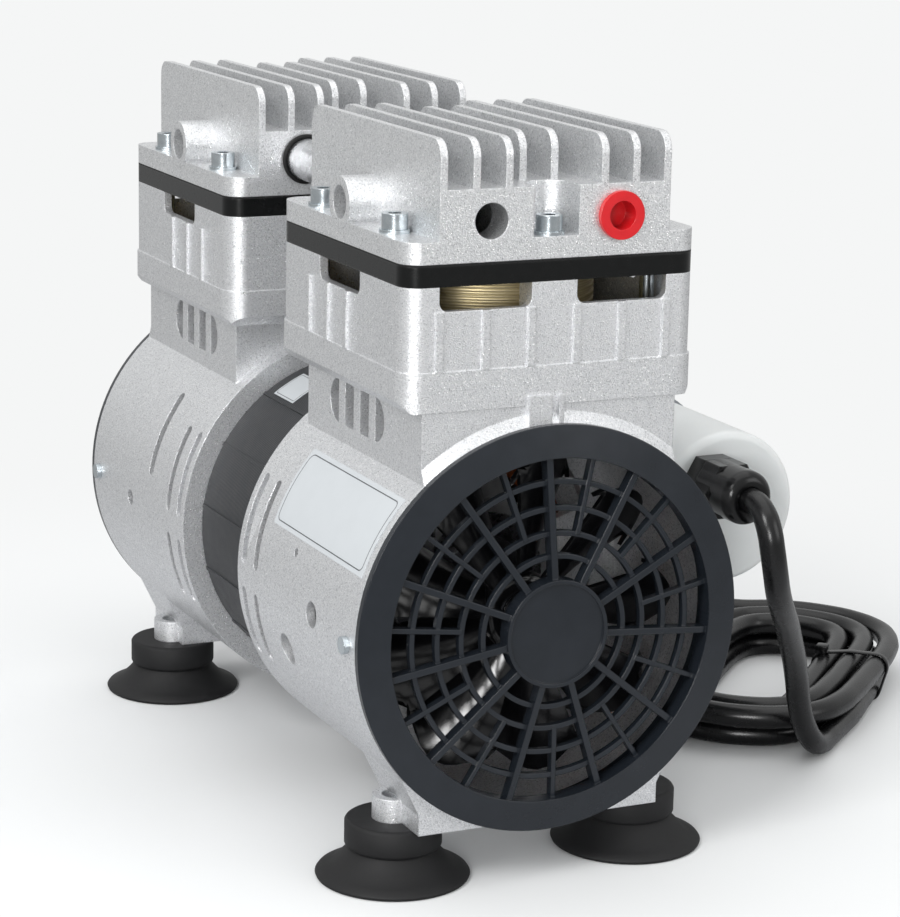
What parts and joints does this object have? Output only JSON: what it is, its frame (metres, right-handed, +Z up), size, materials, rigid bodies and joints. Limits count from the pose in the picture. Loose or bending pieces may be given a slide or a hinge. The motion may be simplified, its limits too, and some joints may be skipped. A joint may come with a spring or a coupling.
{
  "type": "oil-free vacuum pump",
  "caption": "twin-cylinder oil-free piston vacuum pump with finned heads, a fan behind a round grille at each end, suction feet, a side capacitor and a mains lead",
  "frame": {"origin": "on the floor under the middle of the pump's box, the free mains lead left out", "axes": "the shaft lies along Y with the plugged port's end toward -Y, +Z is up, and the capacitor is on the +X side"},
  "size_m": [0.3111, 0.2774, 0.2456],
  "materials": {
    "front_crankcase": "silver die casting with a fine sparkle",
    "rear_crankcase": "silver die casting with a fine sparkle",
    "stator_core": "dark grey lacquered steel laminations",
    "stator_windings": "enamelled copper wire",
    "stator_bolts": "zinc-plated steel",
    "front_cylinder": "gold-brown hard coat with grooves",
    "rear_cylinder": "gold-brown hard coat with grooves",
    "cylinder_seals": "black rubber",
    "front_valve_plate": "glossy black paint",
    "rear_valve_plate": "glossy black paint",
    "head_gaskets": "dark gasket sheet",
    "front_head": "silver die casting with a fine sparkle",
    "rear_head": "silver die casting with a fine sparkle",
    "head_screws": "zinc-plated steel",
    "head_washers": "zinc-plated steel",
    "crossover_tubes": "plain aluminium tube",
    "crossover_seals": "black rubber",
    "front_fan_cover": "slate-black satin plastic",
    "rear_fan_cover": "slate-black satin plastic",
    "cover_screws": "zinc-plated steel",
    "main_bearings": "ground bearing steel",
    "rubber_feet": "matt black rubber",
    "foot_studs": "zinc-plated steel",
    "capacitor": "plain aluminium can",
    "capacitor_cover": "white translucent plastic",
    "capacitor_bracket": "plated sheet steel",
    "bracket_screws": "zinc-plated steel",
    "cable_gland": "black nylon",
    "gland_nut": "black nylon",
    "rating_label": "bare white label film",
    "stator_label": "bare white label film",
    "reed_stops": "steel strip",
    "reed_clamps": "steel strip",
    "reed_screws": "zinc-plated steel",
    "mains_lead": "satin black rubber",
    "cord_hank": "satin black rubber",
    "mains_plug": "satin black rubber",
    "plug_pins": "brass",
    "shaft": "ground steel",
    "rotor_core": "machined rotor laminations",
    "front_fan": "glossy black plastic",
    "rear_fan": "glossy black plastic",
    "fan_clips": "spring steel",
    "front_eccentric": "sintered iron",
    "rear_eccentric": "sintered iron",
    "front_rod": "die-cast aluminium",
    "front_rod_bearing": "ground bearing steel",
    "front_piston_cup": "filled dry-running cup seal",
    "front_cup_plate": "turned aluminium",
    "front_piston_screw": "zinc-plated steel",
    "rear_rod": "die-cast aluminium",
    "rear_rod_bearing": "ground bearing steel",
    "rear_piston_cup": "filled dry-running cup seal",
    "rear_cup_plate": "turned aluminium",
    "rear_piston_screw": "zinc-plated steel",
    "front_intake_reed": "valve strip steel",
    "rear_intake_reed": "valve strip steel",
    "front_exhaust_reed": "valve strip steel",
    "rear_exhaust_reed": "valve strip steel",
    "port_plug": "red plastic"
  },
  "bodies": {
    "pump_frame": {"front_crankcase": "front_crankcase", "rear_crankcase": "rear_crankcase", "stator_core": "stator_core", "stator_windings": "stator_windings", "stator_bolts": "stator_bolts", "front_cylinder": "front_cylinder", "rear_cylinder": "rear_cylinder", "cylinder_seals": "cylinder_seals", "front_valve_plate": "front_valve_plate", "rear_valve_plate": "rear_valve_plate", "head_gaskets": "head_gaskets", "front_head": "front_head", "rear_head": "rear_head", "head_screws": "head_screws", "head_washers": "head_washers", "crossover_tubes": "crossover_tubes", "crossover_seals": "crossover_seals", "front_fan_cover": "front_fan_cover", "rear_fan_cover": "rear_fan_cover", "cover_screws": "cover_screws", "main_bearings": "main_bearings", "rubber_feet": "rubber_feet", "foot_studs": "foot_studs", "capacitor": "capacitor", "capacitor_cover": "capacitor_cover", "capacitor_bracket": "capacitor_bracket", "bracket_screws": "bracket_screws", "cable_gland": "cable_gland", "gland_nut": "gland_nut", "rating_label": "rating_label", "stator_label": "stator_label", "reed_stops": "reed_stops", "reed_clamps": "reed_clamps", "reed_screws": "reed_screws", "mains_lead": "mains_lead", "cord_hank": "cord_hank", "mains_plug": "mains_plug", "plug_pins": "plug_pins"},
    "rotor": {"shaft": "shaft", "rotor_core": "rotor_core", "front_fan": "front_fan", "rear_fan": "rear_fan", "fan_clips": "fan_clips", "front_eccentric": "front_eccentric", "rear_eccentric": "rear_eccentric"},
    "front_piston": {"front_rod": "front_rod", "front_rod_bearing": "front_rod_bearing", "front_piston_cup": "front_piston_cup", "front_cup_plate": "front_cup_plate", "front_piston_screw": "front_piston_screw"},
    "rear_piston": {"rear_rod": "rear_rod", "rear_rod_bearing": "rear_rod_bearing", "rear_piston_cup": "rear_piston_cup", "rear_cup_plate": "rear_cup_plate", "rear_piston_screw": "rear_piston_screw"},
    "front_intake_flap": {"front_intake_reed": "front_intake_reed"},
    "rear_intake_flap": {"rear_intake_reed": "rear_intake_reed"},
    "front_exhaust_flap": {"front_exhaust_reed": "front_exhaust_reed"},
    "rear_exhaust_flap": {"rear_exhaust_reed": "rear_exhaust_reed"},
    "plug": {"port_plug": "port_plug"}
  },
  "joints": [
    {"name": "shaft_spin", "type": "hinge", "parent": "pump_frame", "child": "rotor", "pos_m": [-0.02799, 0, 0.0862], "axis": [0, 1, 0], "continuous": true},
    {"name": "front_rod_turn", "type": "hinge", "parent": "rotor", "child": "front_piston", "pos_m": [-0.02799, -0.0771, 0.0912], "axis": [0, 1, 0], "continuous": true},
    {"name": "rear_rod_turn", "type": "hinge", "parent": "rotor", "child": "rear_piston", "pos_m": [-0.02799, 0.0771, 0.0812], "axis": [0, 1, 0], "continuous": true},
    {"name": "front_intake_flex", "type": "hinge", "parent": "pump_frame", "child": "front_intake_flap", "pos_m": [-0.04199, -0.0911, 0.1998], "axis": [-1, 0, 0], "range_deg": [0, 4.5], "stiffness_Nm_per_rad": 0.02, "springref_deg": -5.73},
    {"name": "rear_intake_flex", "type": "hinge", "parent": "pump_frame", "child": "rear_intake_flap", "pos_m": [-0.04199, 0.0911, 0.1998], "axis": [1, 0, 0], "range_deg": [0, 4.5], "stiffness_Nm_per_rad": 0.02, "springref_deg": -5.73},
    {"name": "front_exhaust_flex", "type": "hinge", "parent": "pump_frame", "child": "front_exhaust_flap", "pos_m": [-0.01399, -0.0911, 0.2065], "axis": [1, 0, 0], "range_deg": [0, 4.5], "stiffness_Nm_per_rad": 0.02, "springref_deg": -5.73},
    {"name": "rear_exhaust_flex", "type": "hinge", "parent": "pump_frame", "child": "rear_exhaust_flap", "pos_m": [-0.01399, 0.0911, 0.2065], "axis": [-1, 0, 0], "range_deg": [0, 4.5], "stiffness_Nm_per_rad": 0.02, "springref_deg": -5.73},
    {"name": "plug_pull", "type": "slide", "parent": "pump_frame", "child": "plug", "axis": [0, -1, 0], "range_m": [0, 0.012]}
  ],
  "couplings": [
    {"joint": "front_rod_turn", "follows": "shaft_spin", "ratio": -1},
    {"joint": "rear_rod_turn", "follows": "shaft_spin", "ratio": -1}
  ]
}
